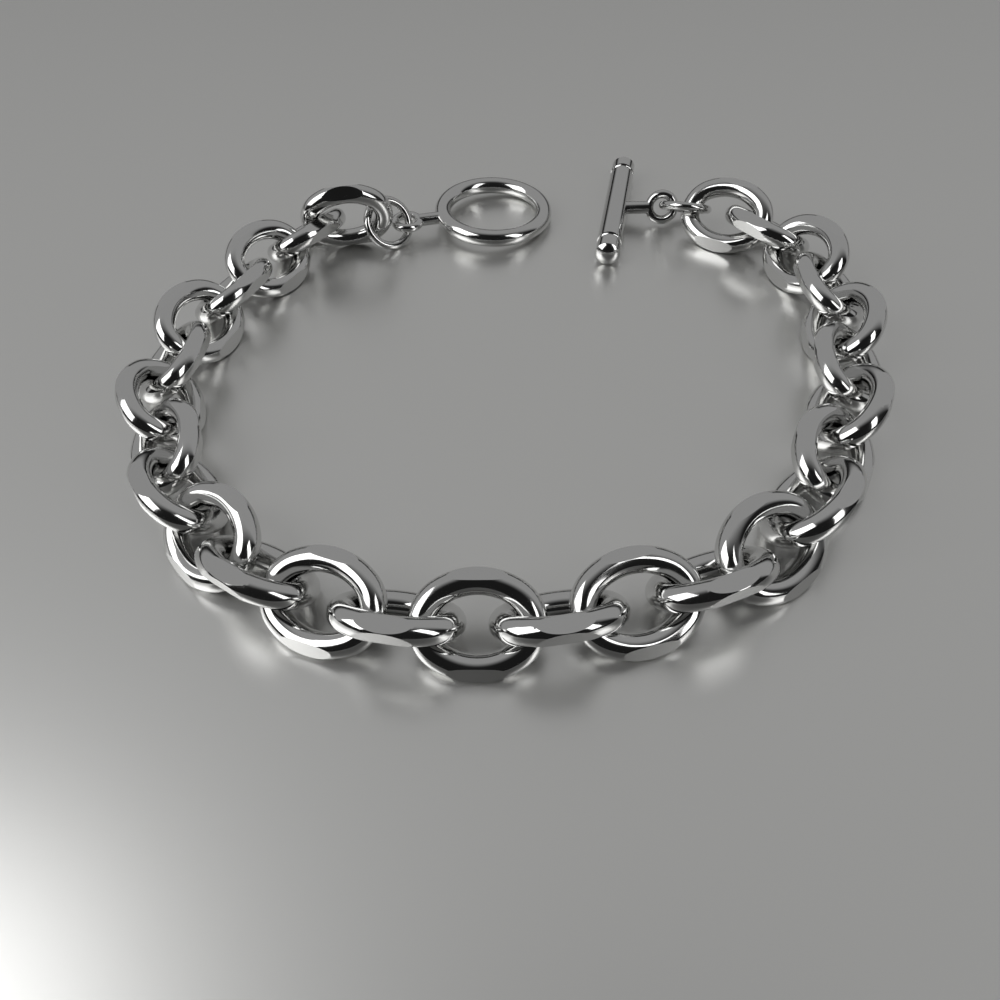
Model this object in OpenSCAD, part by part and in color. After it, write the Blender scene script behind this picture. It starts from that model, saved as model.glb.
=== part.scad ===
// Chunky oval link bracelet in polished steel, lying open with a toggle clasp.
// Units are millimetres. The bracelet lies on the plane z = 0, seen from the front along +Y.

/* [Links] */
// Distance from one link to the next along the chain
link_pitch = 6.45; // [5.2:0.05:8.5]
// Thickness of the round wire each link is made of
wire_d = 2.25; // [1.6:0.05:2.7]
// Width of a link over its round wire, before the flats are cut
link_w = 9.05; // [8:0.05:9.8]
// Depth of the four flats cut into each side bar
flat_cut = 0.31; // [0.1:0.01:0.45]
// Free play between two neighbouring links
link_gap = 0.22; // [0.14:0.01:0.4]
// Lean of the links whose upper bar lies on the inner side of the loop
lean_in = 33; // [26:1:40]
// Lean of the links whose upper bar lies on the outer side of the loop
lean_out = 41; // [33:1:48]

/* [Jump rings] */
// Thickness of the jump rings' wire
jump_wire = 1; // [0.8:0.05:1.2]
// Inner diameter of the jump rings
jump_id = 4.5; // [4.3:0.05:5.6]

/* [Toggle ring] */
// Outer diameter of the ring the bar passes through
ring_d = 14.9; // [12:0.1:18]
// Thickness of that ring
ring_wire = 2; // [1.4:0.1:2.6]

/* [Toggle bar] */
// Length of the bar over its domed ends
bar_len = 22; // [17:0.1:26]
// Thickness of the bar
bar_d = 3; // [2.2:0.1:3.6]
// Depth of the turned groove behind each domed end
groove = 0.28; // [0.1:0.02:0.4]

/* [Soldered loops] */
// Outer diameter of the small loop on the ring and on the bar
loop_d = 4.1; // [3.7:0.05:4.8]
// Thickness of those loops
loop_wire = 1.05; // [0.8:0.05:1.2]
// Length of the stem between the loop and the bar
stem_len = 2.2; // [1:0.05:3]
// Length of the stem between the loop and the ring
ring_stem = 1.7; // [0.8:0.05:2.4]
// Thickness of both stems
stem_d = 1.5; // [1:0.1:2]

/* [Hidden] */
$fn = 96;
steel = [0.72, 0.73, 0.74];
count = 27;
eps = 0.01;
wr = wire_d / 2;
fd = wr - flat_cut;                       // from the wire's centre to a flat
lb = link_w / 2 - wr;                     // half width of the wire's centre line
la = (link_pitch + link_gap) / 2 + wr;    // half length of the wire's centre line
// the centre line is an oval of four arcs: a wide one along each side, a tight one at each end
side_r = max(0.97 * la * la / lb, 1.06 * la);
side_c = side_r - lb;                     // from the link's middle to a side arc's centre
end_c = (pow(side_c, 2) - pow(side_r - la, 2)) / (2 * (side_r - la));
end_r = la - end_c;
end_a = atan2(side_c, end_c);             // half the angle that an end arc spans
plane_d = lb / sqrt(2) + fd;              // from the link's long axis to each flat
edge_a = 45 + acos(fd / wr);              // where a flat leaves the round section
low_a = 45 - acos(fd / wr);               // and its other edge, below 0 where two flats meet
// The few chosen points of the lying chain's route: link number and heading in degrees.
route = [[0, 187], [1, 229], [2, 236], [3, 243], [4, 248], [5, 263], [6, 280], [8, 299],
         [11, 337], [14, 366], [16, 379], [18, 413], [20, 427], [23, 449], [24, 468],
         [25, 486], [26, 506]];
function heading(i) = lookup(i, route);
// The first link stands on its side bar. The two end links lie slack, slid along and across by
// shares of the link's half length and half width.
first_lean = 101;
function lean(i) = i == 0 ? first_lean : i % 2 == 1 ? lean_in : lean_out;
function slide(i) = i == 0 ? [0.09 * la, 0.56 * lb] :
  i == count - 1 ? [-0.224 * la, 0.22 * lb] : [0, 0];
function slack(i) = [slide(i) * [cos(heading(i)), -sin(heading(i))],
                     slide(i) * [sin(heading(i)), cos(heading(i))]];
// contact points along the chain, before centring
steps = [for (i = 0, p = [0, 0]; i <= count;
              p = p + link_pitch * [cos(heading(i)), sin(heading(i))], i = i + 1) p];
// reach of the cut wire's section at an angle from the link's plane, and of a whole side bar
function section(a) = a >= edge_a || a <= low_a ? wr :
  max(wr * cos(edge_a - a), low_a > 0 ? wr * cos(a - low_a) : fd * sqrt(2) * cos(a));
function link_z(i) = lb * sin(lean(i)) + section(abs(90 - lean(i)));
function link_at(i) = let(p = (steps[i] + steps[i + 1]) / 2 + slack(i)) [p[0], p[1], link_z(i)];
// reach of a link in the plan direction e
function reach(i, e) =
  let(h = [cos(heading(i)), sin(heading(i))], p = abs(e * h),
      q = abs(e * [h[1], -h[0]] * cos(lean(i))), m = norm([p, q]))
  (p * side_c > q * end_c ? end_c * p + end_r * m : side_r * m - side_c * q) +
  (q > 0.75 ? section(lean(i)) : wr);

// Left end: jump ring, then the loop, stem and ring of the clasp.
jr = (jump_id + jump_wire) / 2;
end_1 = steps[0] + slack(0);
jump_1_az = 21;                           // way from the link's end to the jump ring's middle
jump_1_slack = 0.107 * jump_id;                      // how far the ring lies back from a taut chain
jump_1_turn = 38;
jump_1_lean = 53;
jump_1_run = (jump_id - link_gap) / 2 - jump_1_slack;
jump_1_c = [end_1[0] + jump_1_run * cos(jump_1_az), end_1[1] + jump_1_run * sin(jump_1_az),
            jr * sin(jump_1_lean) + jump_wire / 2];
loop_in = loop_d / 2 - loop_wire;
loop_r = (loop_d - loop_wire) / 2;
ring_r = (ring_d - ring_wire) / 2;
// the loop hangs on the jump ring at this angle of its circle, a little inside its wire
loop_1_on = -18.5;
loop_1_in = 0.16 * loop_wire;
loop_1_c = jump_1_c + (jr - loop_1_in) * [
  cos(loop_1_on) * cos(jump_1_turn) - sin(loop_1_on) * cos(jump_1_lean) * sin(jump_1_turn),
  cos(loop_1_on) * sin(jump_1_turn) + sin(loop_1_on) * cos(jump_1_lean) * cos(jump_1_turn),
  sin(loop_1_on) * sin(jump_1_lean)];
ring_az = 13.2;
ring_run = loop_d / 2 + ring_stem + ring_d / 2;
ring_drop = asin((loop_1_c[2] - ring_wire / 2) / (ring_r + ring_run));
ring_c = loop_1_c + ring_run *
  [cos(ring_drop) * cos(ring_az), cos(ring_drop) * sin(ring_az), -sin(ring_drop)];

// Right end: jump ring, then the loop, stem and bar of the clasp.
jump_2_az = 145;
jump_2_lean = -31;
bar_az = 13.2;
loop_2_out = bar_d / 2 + stem_len + 2 * loop_in + loop_wire;
loop_2_rise = 6;
loop_2_z = bar_d / 2 + loop_2_out * sin(loop_2_rise);
end_z = link_z(count - 1);
jump_2_dip = asin((end_z - loop_2_z) / jump_id);
end_2 = steps[count] + slack(count - 1);
jump_2_c = [end_2[0], end_2[1], end_z] + (jump_id - link_gap) / 2 *
  [cos(jump_2_az) * cos(jump_2_dip), sin(jump_2_az) * cos(jump_2_dip), -sin(jump_2_dip)];
loop_2_tip = [end_2[0], end_2[1], 0] +
  (jump_id - 1.5 * link_gap) * cos(jump_2_dip) * [cos(jump_2_az), sin(jump_2_az), 0];
bar_c = loop_2_tip + loop_2_out * cos(loop_2_rise) * [-cos(bar_az), sin(bar_az), 0] +
        [0, 0, bar_d / 2];
bar_end = bar_len / 2 * [sin(bar_az), cos(bar_az)];

// centre of everything, so the origin is under the middle
x_lo = min([for (i = [0 : count - 1]) link_at(i)[0] - reach(i, [1, 0])]);
x_hi = max([for (i = [0 : count - 1]) link_at(i)[0] + reach(i, [1, 0])]);
y_lo = min([for (i = [0 : count - 1]) link_at(i)[1] - reach(i, [0, 1])]);
y_hi = max(bar_c[1] + bar_end[1], ring_c[1] + ring_d / 2);
mid = [(x_lo + x_hi) / 2, (y_lo + y_hi) / 2, 0];

// An arc of the wire: its radius, and half the angle that it spans about the x axis.
module wire_arc(r, half) {
  rotate([0, 0, -half]) rotate_extrude(angle = 2 * half) translate([r, 0]) circle(r = wr);
}

// One oval link: round wire with four flats that all but meet along each side's outer edge.
module link_form() {
  big = 4 * (la + wr);
  difference() {
    union() for (s = [0, 180]) rotate([0, 0, s]) {
      translate([end_c, 0, 0]) wire_arc(end_r, end_a);
      rotate([0, 0, 90]) translate([-side_c, 0, 0]) wire_arc(side_r, 90 - end_a);
    }
    for (a = [45, 135, 225, 315]) rotate([a, 0, 0])
      translate([-big / 2, plane_d, -big / 2]) cube(big);
  }
}

// Link i in its place; its upper bar lies on the inner side of the loop when i is odd.
module link_in_place(i) {
  translate(link_at(i) - mid) rotate([0, 0, heading(i)])
    rotate([i % 2 == 1 ? lean(i) : -lean(i), 0, 0]) link_form();
}

// A round ring of wire in the xy plane.
module wire_ring(r, w) {
  rotate_extrude() translate([r, 0]) circle(r = w / 2);
}

module link_01() { color(steel) link_in_place(0); }
module link_02() { color(steel) link_in_place(1); }
module link_03() { color(steel) link_in_place(2); }
module link_04() { color(steel) link_in_place(3); }
module link_05() { color(steel) link_in_place(4); }
module link_06() { color(steel) link_in_place(5); }
module link_07() { color(steel) link_in_place(6); }
module link_08() { color(steel) link_in_place(7); }
module link_09() { color(steel) link_in_place(8); }
module link_10() { color(steel) link_in_place(9); }
module link_11() { color(steel) link_in_place(10); }
module link_12() { color(steel) link_in_place(11); }
module link_13() { color(steel) link_in_place(12); }
module link_14() { color(steel) link_in_place(13); }
module link_15() { color(steel) link_in_place(14); }
module link_16() { color(steel) link_in_place(15); }
module link_17() { color(steel) link_in_place(16); }
module link_18() { color(steel) link_in_place(17); }
module link_19() { color(steel) link_in_place(18); }
module link_20() { color(steel) link_in_place(19); }
module link_21() { color(steel) link_in_place(20); }
module link_22() { color(steel) link_in_place(21); }
module link_23() { color(steel) link_in_place(22); }
module link_24() { color(steel) link_in_place(23); }
module link_25() { color(steel) link_in_place(24); }
module link_26() { color(steel) link_in_place(25); }
module link_27() { color(steel) link_in_place(26); }

module jump_ring_1() {
  color(steel) translate(jump_1_c - mid) rotate([0, 0, jump_1_turn]) rotate([jump_1_lean, 0, 0])
    wire_ring(jr, jump_wire);
}

module jump_ring_2() {
  color(steel) translate(jump_2_c - mid) rotate([0, 0, jump_2_az - 180])
    rotate([0, -jump_2_dip, 0]) rotate([jump_2_lean, 0, 0]) wire_ring(jr, jump_wire);
}

// The clasp's ring with its small loop on a stem, soldered into one piece.
module toggle_ring() {
  color(steel) translate(ring_c - mid) rotate([0, 0, ring_az]) rotate([0, ring_drop, 0])
    union() {
      wire_ring(ring_r, ring_wire);
      translate([-ring_d / 2 - ring_stem - loop_wire / 2, 0, 0]) rotate([0, 90, 0])
        cylinder(d = stem_d, h = ring_stem + loop_wire / 2 + ring_wire / 2);
      translate([-ring_d / 2 - ring_stem - loop_d / 2, 0, 0]) wire_ring(loop_r, loop_wire);
    }
}

// The clasp's bar: a round rod with a turned groove behind each domed end, and a loop on a stem.
module toggle_bar() {
  dome = bar_d * 0.64;
  color(steel) translate(bar_c - mid) rotate([0, 0, -bar_az]) union() {
    difference() {
      rotate([-90, 0, 0]) translate([0, 0, -bar_len / 2]) intersection() {
        cylinder(d = bar_d, h = bar_len);
        translate([0, 0, dome]) cylinder(r = bar_d, h = bar_len - 2 * dome);
      }
      for (s = [-1, 1]) translate([0, s * (bar_len / 2 - bar_d * 0.95), 0]) rotate([90, 0, 0])
        wire_ring(bar_d / 2 + groove * 0.4, groove * 2.8);
    }
    for (s = [-1, 1]) translate([0, s * (bar_len / 2 - dome), 0]) intersection() {
      sphere(r = dome);
      rotate([s * -90, 0, 0]) translate([0, 0, -eps * 20]) cylinder(d = bar_d, h = dome * 2);
    }
    rotate([0, -loop_2_rise, 0]) union() {
      translate([bar_d / 4, 0, 0]) rotate([0, 90, 0])
        cylinder(d = stem_d, h = bar_d / 4 + stem_len + loop_wire / 2);
      translate([bar_d / 2 + stem_len + loop_d / 2, 0, 0])
        rotate([90 + jump_2_lean, 0, 0]) wire_ring(loop_r, loop_wire);
    }
  }
}

link_01();
link_02();
link_03();
link_04();
link_05();
link_06();
link_07();
link_08();
link_09();
link_10();
link_11();
link_12();
link_13();
link_14();
link_15();
link_16();
link_17();
link_18();
link_19();
link_20();
link_21();
link_22();
link_23();
link_24();
link_25();
link_26();
link_27();
jump_ring_1();
jump_ring_2();
toggle_ring();
toggle_bar();
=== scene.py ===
# %% [markdown]
# # A chunky link bracelet with a toggle clasp
# The bracelet lies open on a surface: 27 oval links in a row, a ring at one end and a bar at the
# other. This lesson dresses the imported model: each piece is remodelled finely enough to be a mirror,
# placed where the frame holds it, and given polished stainless steel. All work is done in
# millimetres, as at a jeweller's bench, and a finished piece is brought to metres when it is placed.

# %% Load the frame
import bpy
import math
from mathutils import Matrix, Vector


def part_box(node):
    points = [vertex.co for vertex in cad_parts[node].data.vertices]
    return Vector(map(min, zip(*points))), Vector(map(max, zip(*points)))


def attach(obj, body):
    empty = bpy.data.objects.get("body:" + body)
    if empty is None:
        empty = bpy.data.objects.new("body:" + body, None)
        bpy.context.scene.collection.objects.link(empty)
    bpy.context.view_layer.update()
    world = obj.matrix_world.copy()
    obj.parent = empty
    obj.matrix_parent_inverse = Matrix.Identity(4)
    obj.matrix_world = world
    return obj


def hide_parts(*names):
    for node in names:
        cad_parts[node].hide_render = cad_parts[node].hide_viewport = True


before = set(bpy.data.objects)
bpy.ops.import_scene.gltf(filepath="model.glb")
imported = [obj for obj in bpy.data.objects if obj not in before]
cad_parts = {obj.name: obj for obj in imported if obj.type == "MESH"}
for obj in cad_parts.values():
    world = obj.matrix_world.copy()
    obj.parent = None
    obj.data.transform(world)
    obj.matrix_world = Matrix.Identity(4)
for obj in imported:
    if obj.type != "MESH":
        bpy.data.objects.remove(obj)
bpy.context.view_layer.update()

# %% [markdown]
# ## The sizes of a link
# A link is 2.25 mm round wire bent to an oval and welded. Four flats are then cut along its two
# sides, two on each, and they all but meet along the side's outer edge. An oval that a former
# leaves is four arcs: a wide one along each side and a tight one round each end.

# %% Sizes in millimetres
MM = 0.001
LINK_PITCH, LINK_GAP = 6.45, 0.22
WIRE_R, WIRE_SIDES = 2.25 / 2, 56
FLAT_CUT = 0.31                                  # how deep a flat is cut into the wire
FLAT_AT = WIRE_R - FLAT_CUT                      # from the wire's centre to a flat
HALF_W = 9.05 / 2 - WIRE_R                       # half width of the wire's centre line
HALF_L = (LINK_PITCH + LINK_GAP) / 2 + WIRE_R    # and half its length
SIDE_R = 0.97 * HALF_L ** 2 / HALF_W             # radius of a side arc
SIDE_C = SIDE_R - HALF_W                         # from the link's middle to that arc's centre
END_C = (SIDE_C ** 2 - (SIDE_R - HALF_L) ** 2) / (2 * (SIDE_R - HALF_L))
END_A = math.atan2(SIDE_C, END_C)                # half the angle that an end arc spans
PLANE_AT = HALF_W / math.sqrt(2) + FLAT_AT       # from the link's long axis to each flat
print("a link is", round(2 * (HALF_L + WIRE_R), 2), "mm long over its ends")

# %% [markdown]
# ## Small bench tools
# Operators act on whatever is selected, and the frame's own nodes are selected after loading. So
# every new piece starts with nothing selected, and each edit says what it works on.

# %% Selection and edit helpers
def nothing_selected():
    if bpy.context.object and bpy.context.object.mode != "OBJECT":
        bpy.ops.object.mode_set(mode="OBJECT")
    bpy.ops.object.select_all(action="DESELECT")


def only(obj):
    nothing_selected()
    obj.select_set(True)
    bpy.context.view_layer.objects.active = obj


def named(name):
    obj = bpy.context.object
    obj.name = obj.data.name = name
    return obj


def finish_piece(obj, smooth_degrees=30):
    """Closes seams, points the faces outwards and shades the piece as polished metal."""
    only(obj)
    bpy.ops.object.mode_set(mode="EDIT")
    bpy.ops.mesh.select_all(action="SELECT")
    bpy.ops.mesh.remove_doubles(threshold=0.002)
    bpy.ops.mesh.normals_make_consistent(inside=False)
    bpy.ops.object.mode_set(mode="OBJECT")
    bpy.ops.object.shade_smooth_by_angle(angle=math.radians(smooth_degrees))


def apply_modifier(obj, kind, **settings):
    only(obj)
    modifier = obj.modifiers.new(kind.title(), kind)
    for key, value in settings.items():
        setattr(modifier, key, value)
    bpy.ops.object.modifier_apply(modifier=modifier.name)


# %% [markdown]
# ## One link
# On the bench a link is a length of round wire bent round a former. Here a circle is the wire's
# section, and it is spun round the oval's four arcs, one after another, back to its start. The four
# flats are then cut with bisect, which leaves true planes, as a lap does. The faces of the round
# wire are shaded smooth, and each flat keeps its own even direction, so that it mirrors as a plane.

# %% Bend the wire
nothing_selected()
bpy.ops.mesh.primitive_circle_add(vertices=WIRE_SIDES, radius=WIRE_R, rotation=(math.pi / 2, 0, 0),
                                  location=(HALF_L, 0, 0))
link = named("link_form")
bpy.ops.object.transform_apply(location=True, rotation=True, scale=True)
bpy.ops.object.mode_set(mode="EDIT")
bpy.ops.mesh.select_all(action="SELECT")
SIDE_A = math.pi - 2 * END_A
for steps, angle, centre in ((16, END_A, (END_C, 0, 0)), (34, SIDE_A, (0, -SIDE_C, 0)),
                             (32, 2 * END_A, (-END_C, 0, 0)), (34, SIDE_A, (0, SIDE_C, 0)),
                             (16, END_A, (END_C, 0, 0))):
    bpy.ops.mesh.spin(steps=steps, angle=angle, center=centre, axis=(0, 0, -1))
bpy.ops.mesh.select_all(action="SELECT")
bpy.ops.mesh.remove_doubles(threshold=0.002)
bpy.ops.mesh.normals_make_consistent(inside=False)
bpy.ops.object.mode_set(mode="OBJECT")
print("bent wire:", len(link.data.polygons), "faces, box", [round(d, 2) for d in link.dimensions])

# %% Cut the four flats
bpy.ops.object.mode_set(mode="EDIT")
for turn in (45, 135, 225, 315):
    across = Vector((0, math.cos(math.radians(turn)), math.sin(math.radians(turn))))
    bpy.ops.mesh.select_all(action="SELECT")
    bpy.ops.mesh.bisect(plane_co=across * PLANE_AT, plane_no=across, use_fill=True, clear_outer=True)
bpy.ops.object.mode_set(mode="OBJECT")
flats = [f for f in link.data.polygons if len(f.vertices) > 20]
print("flats:", [round(f.area, 2) for f in flats], "square mm")

# %% Shade the link
finish_piece(link, 20)
apply_modifier(link, "WEIGHTED_NORMAL", mode="FACE_AREA", weight=50, keep_sharp=True)
print("link:", len(link.data.polygons), "faces")

# %% [markdown]
# ## The chain
# The links are alike, so the form is modelled once and copied, each copy with its own mesh. Every
# link is turned along the chain and leans to one side, alternately inwards and outwards, because
# its lower bar lies on the surface and its upper bar on the neighbour. Only the first link, held by
# the clasp's jump ring, stands on its side. The frame holds the same links, so each copy is seated
# at the middle of its node's box. The route gives the headings in degrees at a few chosen links,
# and the others lie evenly between them.

# %% Seat a finished piece on its node
def seat(piece, node, turn):
    """Turns the piece, brings it to metres and sets it where its node lies."""
    only(piece)
    piece.matrix_world = Matrix.Scale(MM, 4) @ turn
    bpy.ops.object.transform_apply(location=True, rotation=True, scale=True)
    corners = [vertex.co for vertex in piece.data.vertices]
    low = Vector([min(c[k] for c in corners) for k in range(3)])
    high = Vector([max(c[k] for c in corners) for k in range(3)])
    node_low, node_high = [Vector(c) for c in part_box(node)]
    piece.location = (node_low + node_high - low - high) / 2
    bpy.ops.object.transform_apply(location=True, rotation=True, scale=True)
    piece.name = piece.data.name = "steel_" + node
    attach(piece, "root")
    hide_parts(node)
    return max((high - low - node_high + node_low).to_tuple(), key=abs) / MM


def rotation(axis, degrees):
    return Matrix.Rotation(math.radians(degrees), 4, axis)


# %% Lay the 27 links
ROUTE = {0: 187, 1: 229, 2: 236, 3: 243, 4: 248, 5: 263, 6: 280, 8: 299, 11: 337, 14: 366, 16: 379,
         18: 413, 20: 427, 23: 449, 24: 468, 25: 486, 26: 506}
LEAN_IN, LEAN_OUT, FIRST_LEAN = 33, -41, -101


def lean(i):
    if i == 0:
        return FIRST_LEAN
    return LEAN_IN if i % 2 else LEAN_OUT


def heading(i):
    before = max(k for k in ROUTE if k <= i)
    after = min(k for k in ROUTE if k >= i)
    share = 0 if after == before else (i - before) / (after - before)
    return ROUTE[before] + share * (ROUTE[after] - ROUTE[before])


steel_pieces = []
for i in range(27):
    only(link)
    bpy.ops.object.duplicate(linked=False)
    copy = bpy.context.object
    turn = rotation("Z", heading(i)) @ rotation("X", lean(i))
    off = seat(copy, "link_%02d" % (i + 1), turn)
    steel_pieces.append(copy)
    if i % 9 == 0:
        print(copy.name, "box differs from its node's by", round(off, 3), "mm")
bpy.data.objects.remove(link)

# %% [markdown]
# ## The jump rings
# A jump ring is one turn of thin round wire. A torus is that, with enough sides to mirror smoothly.

# %% Two jump rings
JUMP_WIRE, JUMP_ID = 1.0, 4.5


def ring_of_wire(name, radius, wire, around=96, sides=32):
    nothing_selected()
    bpy.ops.mesh.primitive_torus_add(major_radius=radius, minor_radius=wire / 2,
                                     major_segments=around, minor_segments=sides)
    ring = named(name)
    bpy.ops.object.shade_smooth()
    return ring


for node, turn in (
        ("jump_ring_1", rotation("Z", 38) @ rotation("X", 53)),
        ("jump_ring_2", rotation("Z", -35) @ rotation("Y", -11.43) @ rotation("X", -31))):
    ring = ring_of_wire(node + "_form", (JUMP_ID + JUMP_WIRE) / 2, JUMP_WIRE)
    off = seat(ring, node, turn)
    steel_pieces.append(ring)
    print(ring.name, "box differs by", round(off, 3), "mm")

# %% [markdown]
# ## The clasp's ring
# The ring that the bar goes through carries a stem and a small loop, soldered into one piece. The
# three are modelled as the smith has them, two rings of wire and a short rod, then fused with
# booleans so that the mesh is one closed skin.

# %% Ring, stem and loop
RING_D, RING_WIRE, RING_STEM = 14.9, 2.0, 1.7
LOOP_D, LOOP_WIRE, STEM_D = 4.1, 1.05, 1.5
RING_TURN, RING_DIP = 13.2, 3.39                 # degrees


def rod(name, diameter, start, end, sides=48):
    """A plain rod between two points on one line, ready to be fused."""
    nothing_selected()
    along = Vector(end) - Vector(start)
    bpy.ops.mesh.primitive_cylinder_add(vertices=sides, radius=diameter / 2, depth=along.length)
    piece = named(name)
    turn = Vector((0, 0, 1)).rotation_difference(along).to_matrix().to_4x4()
    piece.matrix_world = Matrix.Translation((Vector(start) + Vector(end)) / 2) @ turn
    bpy.ops.object.transform_apply(location=True, rotation=True, scale=True)
    return piece


def fuse(base, *others):
    for other in others:
        apply_modifier(base, "BOOLEAN", operation="UNION", object=other, solver="EXACT")
        bpy.data.objects.remove(other)


def move(piece, turn):
    only(piece)
    piece.matrix_world = turn
    bpy.ops.object.transform_apply(location=True, rotation=True, scale=True)


def small_loop(place):
    """The loop that a jump ring holds, set where the matrix says."""
    loop = ring_of_wire("loop_form", (LOOP_D - LOOP_WIRE) / 2, LOOP_WIRE, 80, 32)
    move(loop, place)
    return loop


clasp_ring = ring_of_wire("clasp_ring_form", (RING_D - RING_WIRE) / 2, RING_WIRE, 160, 48)
loop_at = RING_D / 2 + RING_STEM + LOOP_D / 2
loop = small_loop(Matrix.Translation((-loop_at, 0, 0)))
stem = rod("stem_form", STEM_D, (-RING_D / 2 - RING_STEM - LOOP_WIRE / 2, 0, 0),
           (-RING_D / 2 + RING_WIRE / 2, 0, 0))
fuse(clasp_ring, stem, loop)
finish_piece(clasp_ring, 40)
off = seat(clasp_ring, "toggle_ring", rotation("Z", RING_TURN) @ rotation("Y", RING_DIP))
steel_pieces.append(clasp_ring)
print("clasp ring:", len(clasp_ring.data.polygons), "faces, box differs by", round(off, 3), "mm")

# %% [markdown]
# ## The clasp's bar
# The bar is turned on a lathe: a rod with a groove behind each domed end. Half of its outline is
# drawn by extruding a circle and resizing it step by step, from the middle to the tip, and the
# other half is its mirror image. The loop and its stem are then fused on, as on the ring.

# %% Turn the bar
BAR_LEN, BAR_D = 22.0, 3.0
GROOVE = 0.28                                    # how deep a groove is
DOME = BAR_D * 0.64                              # radius of a domed end
GROOVE_AT = BAR_LEN / 2 - BAR_D * 0.95           # from the bar's middle to a groove
GROOVE_R = GROOVE * 1.4                          # radius of the round tool that cuts it
TOOL_OUT = GROOVE * 0.4                          # from the bar's skin out to the tool's centre
LAND = 0.06                                      # a short straight run on each side of a groove


def bar_outline():
    """Distance from the bar's middle and radius there, from the middle to the tip."""
    half_groove = math.sqrt(GROOVE_R ** 2 - TOOL_OUT ** 2)
    points = [(GROOVE_AT * k / 4, BAR_D / 2) for k in (1, 2, 3)]
    points.append((GROOVE_AT - half_groove - LAND, BAR_D / 2))
    for k in range(13):
        a = math.pi * (k / 12)
        x = -half_groove * math.cos(a)
        depth = math.sqrt(GROOVE_R ** 2 - x * x)
        points.append((GROOVE_AT + x, BAR_D / 2 + TOOL_OUT - depth))
    dome_from = math.acos(min(1, BAR_D / 2 / DOME))
    points.append((GROOVE_AT + half_groove + LAND, BAR_D / 2))
    for k in range(17):
        a = dome_from + (math.pi / 2 - dome_from) * k / 16
        points.append((BAR_LEN / 2 - DOME + DOME * math.sin(a), max(DOME * math.cos(a), 0.0005)))
    return sorted(points)


nothing_selected()
bpy.ops.mesh.primitive_circle_add(vertices=64, radius=BAR_D / 2, rotation=(math.pi / 2, 0, 0))
bar = named("bar_form")
bpy.ops.object.transform_apply(location=True, rotation=True, scale=True)
bpy.ops.object.mode_set(mode="EDIT")
bpy.ops.mesh.select_all(action="SELECT")
at, radius = 0.0, BAR_D / 2
for x, r in bar_outline():
    bpy.ops.mesh.extrude_region_move(TRANSFORM_OT_translate={"value": (0, x - at, 0)})
    bpy.ops.transform.resize(value=(r / radius, 1, r / radius), center_override=(0, x, 0))
    at, radius = x, r
bpy.ops.mesh.merge(type="CENTER")
bpy.ops.object.mode_set(mode="OBJECT")
apply_modifier(bar, "MIRROR", use_axis=(False, True, False), merge_threshold=0.001)
finish_piece(bar, 40)
print("bar:", len(bar.data.polygons), "faces,", round(bar.dimensions[1], 2), "mm long")

# %% Its stem and loop
STEM_LEN = 2.2
LOOP_RISE, LOOP_LEAN, BAR_TURN = 6, 90 - 31, -13.2    # degrees
rise = rotation("Y", -LOOP_RISE)
stem = rod("stem_form", STEM_D, (BAR_D / 4, 0, 0), (BAR_D / 2 + STEM_LEN + LOOP_WIRE / 2, 0, 0))
move(stem, rise)
loop_place = Matrix.Translation((BAR_D / 2 + STEM_LEN + LOOP_D / 2, 0, 0))
loop = small_loop(rise @ loop_place @ rotation("X", LOOP_LEAN))
fuse(bar, stem, loop)
finish_piece(bar, 40)
off = seat(bar, "toggle_bar", rotation("Z", BAR_TURN))
steel_pieces.append(bar)
print("clasp bar:", len(bar.data.polygons), "faces, box differs by", round(off, 3), "mm")

# %% [markdown]
# ## Polished stainless steel
# The links are stainless steel, tumbled and then buffed to a mirror. Such steel is a neutral grey
# metal whose reflection is nearly sharp. Close to, it shows a haze in soft patches, faint lines
# that the wheel left, and here and there a tiny pit. A metal has no colour but its reflection, so
# the shader is metallic with a low roughness. The haze and the lines change the roughness, and the
# pits are a faint bump.

# %% Material helpers
def linear(hex_colour):
    """An sRGB hex colour as the linear colour that a shader takes."""
    parts = [int(hex_colour[k:k + 2], 16) / 255 for k in (1, 3, 5)]
    return [c / 12.92 if c <= 0.04045 else ((c + 0.055) / 1.055) ** 2.4 for c in parts] + [1.0]


def add_node(tree, kind, settings=(), **links):
    """Adds one node, sets its properties and values, and links its inputs."""
    node = tree.nodes.new(kind)
    for key, value in dict(settings).items():
        if hasattr(node, key):
            setattr(node, key, value)
        else:
            node.inputs[key].default_value = value
    for key, source in links.items():
        tree.links.new(source, node.inputs[key.replace("_", " ")])
    return node


# %% Polished stainless steel
STEEL_ROUGHNESS = 0.07
steel = bpy.data.materials.new("polished stainless steel")
steel.use_nodes = True
tree = steel.node_tree
shader = tree.nodes["Principled BSDF"]
shader.inputs["Base Color"].default_value = linear("#d8d8d7")
shader.inputs["Metallic"].default_value = 1.0
place = add_node(tree, "ShaderNodeTexCoord").outputs["Object"]
# haze: soft patches about 3 mm across
haze = add_node(tree, "ShaderNodeTexNoise", {"Scale": 1 / (3 * MM), "Detail": 3.0}, Vector=place)
rough = add_node(tree, "ShaderNodeMapRange", {"From Min": 0.3, "From Max": 0.7,
                                              "To Min": STEEL_ROUGHNESS * 0.6,
                                              "To Max": STEEL_ROUGHNESS * 1.6},
                 Value=haze.outputs["Fac"])
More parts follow.
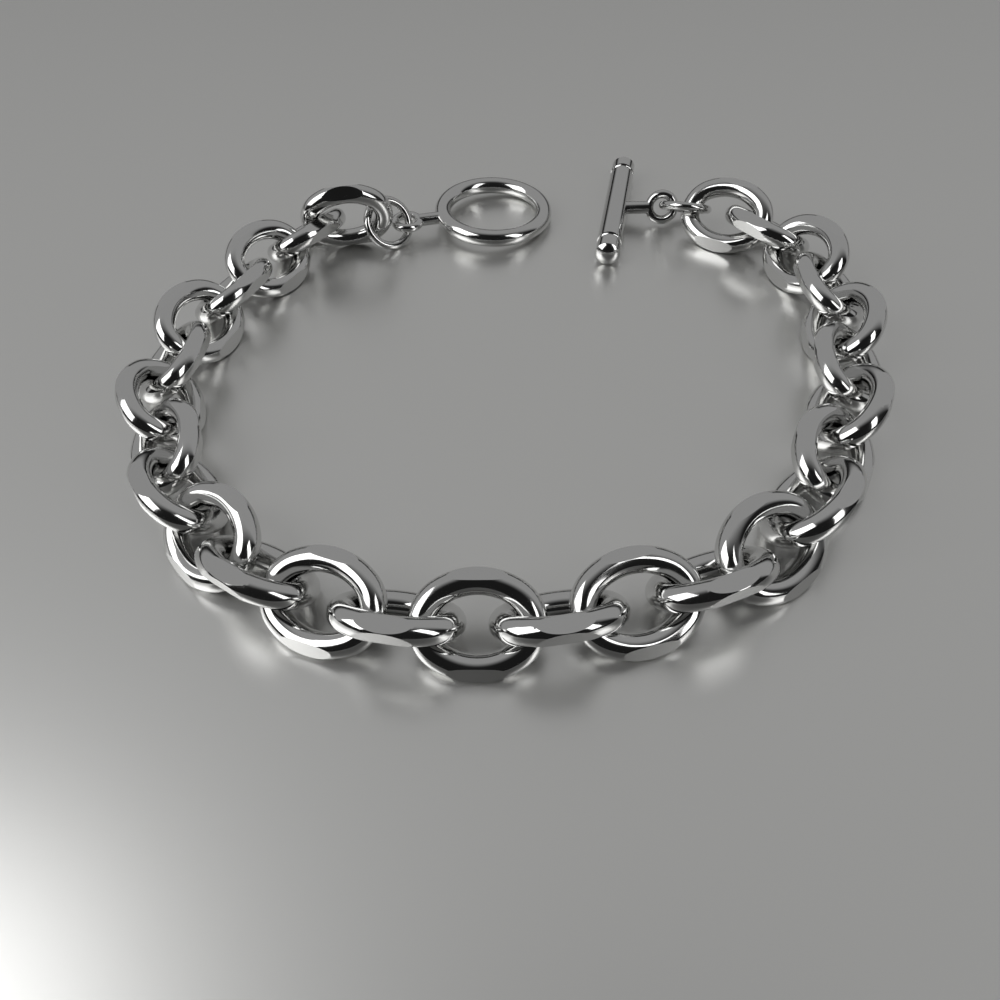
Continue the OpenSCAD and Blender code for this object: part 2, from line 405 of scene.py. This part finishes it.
# buffing lines: noise 0.08 mm fine and stretched twelve times along the wheel's run
stretched = add_node(tree, "ShaderNodeMapping", {"Scale": (1 / 12, 1, 1), "Rotation": (0, 0, 0.5)},
                     Vector=place)
lines = add_node(tree, "ShaderNodeTexNoise", {"Scale": 1 / (0.08 * MM), "Detail": 1.0},
                 Vector=stretched.outputs["Vector"])
with_lines = add_node(tree, "ShaderNodeMath", {"operation": "MULTIPLY_ADD"})
tree.links.new(lines.outputs["Fac"], with_lines.inputs[0])
with_lines.inputs[1].default_value = STEEL_ROUGHNESS * 0.5
tree.links.new(rough.outputs["Result"], with_lines.inputs[2])
tree.links.new(with_lines.outputs["Value"], shader.inputs["Roughness"])
# pits: dimples about 0.12 mm wide, at a few of the points of a 1.1 mm net
cells = add_node(tree, "ShaderNodeTexVoronoi", {"Scale": 1 / (1.1 * MM)}, Vector=place)
pits = add_node(tree, "ShaderNodeMapRange", {"From Min": 0.03, "From Max": 0.06},
                Value=cells.outputs["Distance"])
dimple = add_node(tree, "ShaderNodeBump", {"Strength": 0.25, "Distance": 0.01 * MM},
                  Height=pits.outputs["Result"])
tree.links.new(dimple.outputs["Normal"], shader.inputs["Normal"])
for piece in steel_pieces:
    piece.data.materials.clear()
    piece.data.materials.append(steel)
print(len(steel_pieces), "pieces in", steel.name)

# %% [markdown]
# ## Floor, light and camera
# The bracelet lies on a plain pale floor under soft studio light. A mirror shows what is around it,
# so the surroundings are part of the finish: a grey wall at the back, darkness in front, and two
# tall white soft boxes at the sides. The floor is satin and half mirrors them in turn.

# %% Floor
nothing_selected()
bpy.ops.mesh.primitive_plane_add(size=3.0)
floor = named("floor")
floor_paint = bpy.data.materials.new("pale satin floor")
floor_paint.use_nodes = True
floor_shader = floor_paint.node_tree.nodes["Principled BSDF"]
floor_shader.inputs["Base Color"].default_value = linear("#e8e8e6")
floor_shader.inputs["Roughness"].default_value = 0.33
floor_shader.inputs["Metallic"].default_value = 0.87
floor.data.materials.append(floor_paint)
print(floor.name, "of", floor_paint.name)

# %% [markdown]
# The world is an even grey wall behind the bracelet. Its lower edge fades out at the horizon and
# its upper edge overhead, and the room in front is dark. So a flat that looks to the back is grey,
# while round wire below it turns black, and every link gets a dark outline. The angle is measured
# from the back horizon (0) over the top (90) to the front horizon (180).

# %% World
WALL_GREY, ROOM_DARK = 0.34, 0.012
bpy.context.scene.view_settings.view_transform = "Standard"
world = bpy.data.worlds.new("studio")
bpy.context.scene.world = world
world.use_nodes = True
sky = world.node_tree
toward = add_node(sky, "ShaderNodeTexCoord").outputs["Generated"]
parts = add_node(sky, "ShaderNodeSeparateXYZ", Vector=toward)
over = add_node(sky, "ShaderNodeMath", {"operation": "ARCTAN2"})
sky.links.new(parts.outputs["Z"], over.inputs[0])
sky.links.new(parts.outputs["Y"], over.inputs[1])


def edge(start, stop, first, last):
    """A soft step between two angles in degrees."""
    return add_node(sky, "ShaderNodeMapRange", {
        "interpolation_type": "SMOOTHSTEP", "From Min": math.radians(start),
        "From Max": math.radians(stop), "To Min": first, "To Max": last}, Value=over.outputs[0])


wall = add_node(sky, "ShaderNodeMath", {"operation": "MULTIPLY"})
sky.links.new(edge(6, 18, ROOM_DARK / WALL_GREY, 1.0).outputs["Result"], wall.inputs[0])
sky.links.new(edge(75, 115, WALL_GREY, ROOM_DARK).outputs["Result"], wall.inputs[1])
sky.links.new(wall.outputs[0], sky.nodes["Background"].inputs["Color"])
print("wall grey", WALL_GREY, "and room", ROOM_DARK)

# %% Soft boxes
BOX_AWAY, BOX_TALL = 0.6, 0.5                    # metres


def soft_box(name, azimuth, elevation, width, power):
    """A white panel aimed at the bracelet; azimuth 0 is to the right and 90 at the back."""
    light = bpy.data.lights.new(name, "AREA")
    light.shape, light.size, light.size_y, light.energy = "RECTANGLE", width, BOX_TALL, power
    lamp = bpy.data.objects.new(name, light)
    bpy.context.scene.collection.objects.link(lamp)
    a, e = math.radians(azimuth), math.radians(elevation)
    away = Vector((math.cos(a) * math.cos(e), math.sin(a) * math.cos(e), math.sin(e)))
    lamp.location = away * BOX_AWAY
    lamp.rotation_euler = away.to_track_quat("Z", "Y").to_euler()
    print(name, width, "by", BOX_TALL, "m, power", power)


soft_box("left box", azimuth=196, elevation=40, width=0.44, power=1.7)
soft_box("right box", azimuth=320, elevation=36, width=0.17, power=0.65)

# %% Camera
camera = bpy.data.cameras.new("camera")
camera.sensor_width, camera.lens, camera.clip_start = 36, 29.89, 0.001
eye = bpy.data.objects.new("camera", camera)
bpy.context.scene.collection.objects.link(eye)
EYE = Vector((-1.997, -68.662, 58.837)) * MM
DOWN, ROLL = 49.849, -3.179
look = Vector((0, math.cos(math.radians(DOWN)), -math.sin(math.radians(DOWN))))
eye.matrix_world = (Matrix.Translation(EYE) @ look.to_track_quat("-Z", "Y").to_matrix().to_4x4()
                    @ rotation("Z", ROLL))
bpy.context.scene.camera = eye
print("camera", round(EYE.length, 3), "m from the middle")
